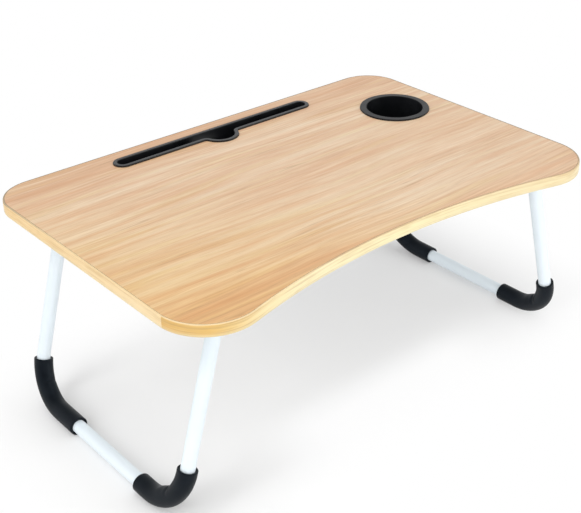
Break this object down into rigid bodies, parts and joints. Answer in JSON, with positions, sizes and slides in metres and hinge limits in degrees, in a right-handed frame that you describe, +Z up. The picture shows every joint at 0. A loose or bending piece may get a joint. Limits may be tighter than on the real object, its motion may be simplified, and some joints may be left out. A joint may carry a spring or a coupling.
{
  "type": "folding laptop table",
  "caption": "Low bed tray table with a round-cornered wood-print board, front dip, device slot, cup holder and folding U-shaped tube legs with rubber foot sleeves.",
  "frame": {"origin": "on the floor under the middle of the board, legs open", "axes": "+X along the board to the end with the cup holder, +Y back to the device slot, +Z up"},
  "size_m": [0.621, 0.4, 0.257],
  "materials": {
    "core_board": "raw fibreboard",
    "top_laminate": "satin wood-print laminate",
    "bottom_laminate": "matt backing laminate",
    "edge_band": "satin wood-print edging",
    "slot_plastic": "semi-gloss moulded",
    "cup_plastic": "semi-gloss moulded",
    "leg_paint": "white powder coat",
    "bracket_plastic": "moulded, fine texture",
    "screw_steel": "zinc plated",
    "pin_steel": "bright rivet",
    "plug_plastic": "moulded",
    "sleeve_rubber": "matt hose"
  },
  "bodies": {
    "table": {"board_core": "core_board", "top_laminate": "top_laminate", "bottom_laminate": "bottom_laminate", "edge_band": "edge_band", "device_slot_trim": "slot_plastic", "cup_holder": "cup_plastic", "left_front_hinge_bracket": "bracket_plastic", "left_front_bracket_screws": "screw_steel", "left_front_hinge_pin": "pin_steel", "left_rear_hinge_bracket": "bracket_plastic", "left_rear_bracket_screws": "screw_steel", "left_rear_hinge_pin": "pin_steel", "right_front_hinge_bracket": "bracket_plastic", "right_front_bracket_screws": "screw_steel", "right_front_hinge_pin": "pin_steel", "right_rear_hinge_bracket": "bracket_plastic", "right_rear_bracket_screws": "screw_steel", "right_rear_hinge_pin": "pin_steel"},
    "left_leg": {"left_leg_tube": "leg_paint", "left_front_tube_plug": "plug_plastic", "left_front_foot_sleeve": "sleeve_rubber", "left_rear_tube_plug": "plug_plastic", "left_rear_foot_sleeve": "sleeve_rubber"},
    "right_leg": {"right_leg_tube": "leg_paint", "right_front_tube_plug": "plug_plastic", "right_front_foot_sleeve": "sleeve_rubber", "right_rear_tube_plug": "plug_plastic", "right_rear_foot_sleeve": "sleeve_rubber"}
  },
  "joints": [
    {"name": "left_leg_fold", "type": "hinge", "parent": "table", "child": "left_leg", "pos_m": [-0.2392, 0, 0.229], "axis": [0, -1, 0], "range_deg": [0, 105.4]},
    {"name": "right_leg_fold", "type": "hinge", "parent": "table", "child": "right_leg", "pos_m": [0.2392, 0, 0.229], "axis": [0, 1, 0], "range_deg": [0, 105.4]}
  ]
}
